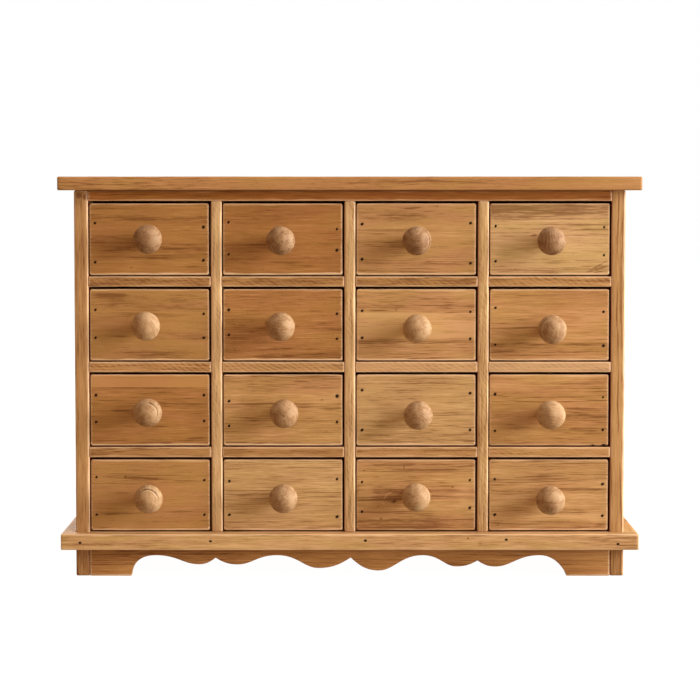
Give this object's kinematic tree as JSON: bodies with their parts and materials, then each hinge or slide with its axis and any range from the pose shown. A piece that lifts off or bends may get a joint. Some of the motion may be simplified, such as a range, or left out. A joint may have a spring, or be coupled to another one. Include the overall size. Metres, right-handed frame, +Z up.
{
  "type": "spice drawer cabinet",
  "caption": "Tabletop softwood cabinet with a grid of small sliding drawers with turned ball knobs, an overhanging top board, a square base moulding and a scalloped apron.",
  "frame": {"origin": "on the floor, under the middle of the whole cabinet's box, knobs included", "axes": "+X across the front to the right, +Y from the drawer fronts to the back, +Z up"},
  "size_m": [0.58, 0.208, 0.4008],
  "materials": {
    "case_wood": "clear-finished softwood, satin, aged to a warm tan, with brown grain lines",
    "front_wood": "clear-finished softwood, satin, horizontal grain that differs from drawer to drawer",
    "drawer_wood": "unfinished planed softwood",
    "knob_wood": "turned hardwood, satin, with end grain at the front",
    "panel_wood": "unfinished thin plywood",
    "nail_steel": "dark, dull, tarnished steel wire nails"
  },
  "bodies": {
    "carcass": {"top_board": "case_wood", "left_side_panel": "case_wood", "right_side_panel": "case_wood", "inner_top": "case_wood", "bottom_board": "case_wood", "back_panel": "panel_wood", "column_dividers": "case_wood", "drawer_shelves": "case_wood", "front_moulding": "case_wood", "side_mouldings": "case_wood", "scalloped_apron": "case_wood", "carcass_nails": "nail_steel"},
    "drawer_r1c1": {"drawer_front_r1c1": "front_wood", "drawer_box_r1c1": "drawer_wood", "knob_r1c1": "knob_wood"},
    "drawer_r1c2": {"drawer_front_r1c2": "front_wood", "drawer_box_r1c2": "drawer_wood", "knob_r1c2": "knob_wood"},
    "drawer_r1c3": {"drawer_front_r1c3": "front_wood", "drawer_box_r1c3": "drawer_wood", "knob_r1c3": "knob_wood"},
    "drawer_r1c4": {"drawer_front_r1c4": "front_wood", "drawer_box_r1c4": "drawer_wood", "knob_r1c4": "knob_wood"},
    "drawer_r2c1": {"drawer_front_r2c1": "front_wood", "drawer_box_r2c1": "drawer_wood", "knob_r2c1": "knob_wood"},
    "drawer_r2c2": {"drawer_front_r2c2": "front_wood", "drawer_box_r2c2": "drawer_wood", "knob_r2c2": "knob_wood"},
    "drawer_r2c3": {"drawer_front_r2c3": "front_wood", "drawer_box_r2c3": "drawer_wood", "knob_r2c3": "knob_wood"},
    "drawer_r2c4": {"drawer_front_r2c4": "front_wood", "drawer_box_r2c4": "drawer_wood", "knob_r2c4": "knob_wood"},
    "drawer_r3c1": {"drawer_front_r3c1": "front_wood", "drawer_box_r3c1": "drawer_wood", "knob_r3c1": "knob_wood"},
    "drawer_r3c2": {"drawer_front_r3c2": "front_wood", "drawer_box_r3c2": "drawer_wood", "knob_r3c2": "knob_wood"},
    "drawer_r3c3": {"drawer_front_r3c3": "front_wood", "drawer_box_r3c3": "drawer_wood", "knob_r3c3": "knob_wood"},
    "drawer_r3c4": {"drawer_front_r3c4": "front_wood", "drawer_box_r3c4": "drawer_wood", "knob_r3c4": "knob_wood"},
    "drawer_r4c1": {"drawer_front_r4c1": "front_wood", "drawer_box_r4c1": "drawer_wood", "knob_r4c1": "knob_wood"},
    "drawer_r4c2": {"drawer_front_r4c2": "front_wood", "drawer_box_r4c2": "drawer_wood", "knob_r4c2": "knob_wood"},
    "drawer_r4c3": {"drawer_front_r4c3": "front_wood", "drawer_box_r4c3": "drawer_wood", "knob_r4c3": "knob_wood"},
    "drawer_r4c4": {"drawer_front_r4c4": "front_wood", "drawer_box_r4c4": "drawer_wood", "knob_r4c4": "knob_wood"}
  },
  "joints": [
    {"name": "slide_r1c1", "type": "slide", "parent": "carcass", "child": "drawer_r1c1", "axis": [0, -1, 0], "range_m": [0, 0.12]},
    {"name": "slide_r1c2", "type": "slide", "parent": "carcass", "child": "drawer_r1c2", "axis": [0, -1, 0], "range_m": [0, 0.12]},
    {"name": "slide_r1c3", "type": "slide", "parent": "carcass", "child": "drawer_r1c3", "axis": [0, -1, 0], "range_m": [0, 0.12]},
    {"name": "slide_r1c4", "type": "slide", "parent": "carcass", "child": "drawer_r1c4", "axis": [0, -1, 0], "range_m": [0, 0.12]},
    {"name": "slide_r2c1", "type": "slide", "parent": "carcass", "child": "drawer_r2c1", "axis": [0, -1, 0], "range_m": [0, 0.12]},
    {"name": "slide_r2c2", "type": "slide", "parent": "carcass", "child": "drawer_r2c2", "axis": [0, -1, 0], "range_m": [0, 0.12]},
    {"name": "slide_r2c3", "type": "slide", "parent": "carcass", "child": "drawer_r2c3", "axis": [0, -1, 0], "range_m": [0, 0.12]},
    {"name": "slide_r2c4", "type": "slide", "parent": "carcass", "child": "drawer_r2c4", "axis": [0, -1, 0], "range_m": [0, 0.12]},
    {"name": "slide_r3c1", "type": "slide", "parent": "carcass", "child": "drawer_r3c1", "axis": [0, -1, 0], "range_m": [0, 0.12]},
    {"name": "slide_r3c2", "type": "slide", "parent": "carcass", "child": "drawer_r3c2", "axis": [0, -1, 0], "range_m": [0, 0.12]},
    {"name": "slide_r3c3", "type": "slide", "parent": "carcass", "child": "drawer_r3c3", "axis": [0, -1, 0], "range_m": [0, 0.12]},
    {"name": "slide_r3c4", "type": "slide", "parent": "carcass", "child": "drawer_r3c4", "axis": [0, -1, 0], "range_m": [0, 0.12]},
    {"name": "slide_r4c1", "type": "slide", "parent": "carcass", "child": "drawer_r4c1", "axis": [0, -1, 0], "range_m": [0, 0.12]},
    {"name": "slide_r4c2", "type": "slide", "parent": "carcass", "child": "drawer_r4c2", "axis": [0, -1, 0], "range_m": [0, 0.12]},
    {"name": "slide_r4c3", "type": "slide", "parent": "carcass", "child": "drawer_r4c3", "axis": [0, -1, 0], "range_m": [0, 0.12]},
    {"name": "slide_r4c4", "type": "slide", "parent": "carcass", "child": "drawer_r4c4", "axis": [0, -1, 0], "range_m": [0, 0.12]}
  ]
}
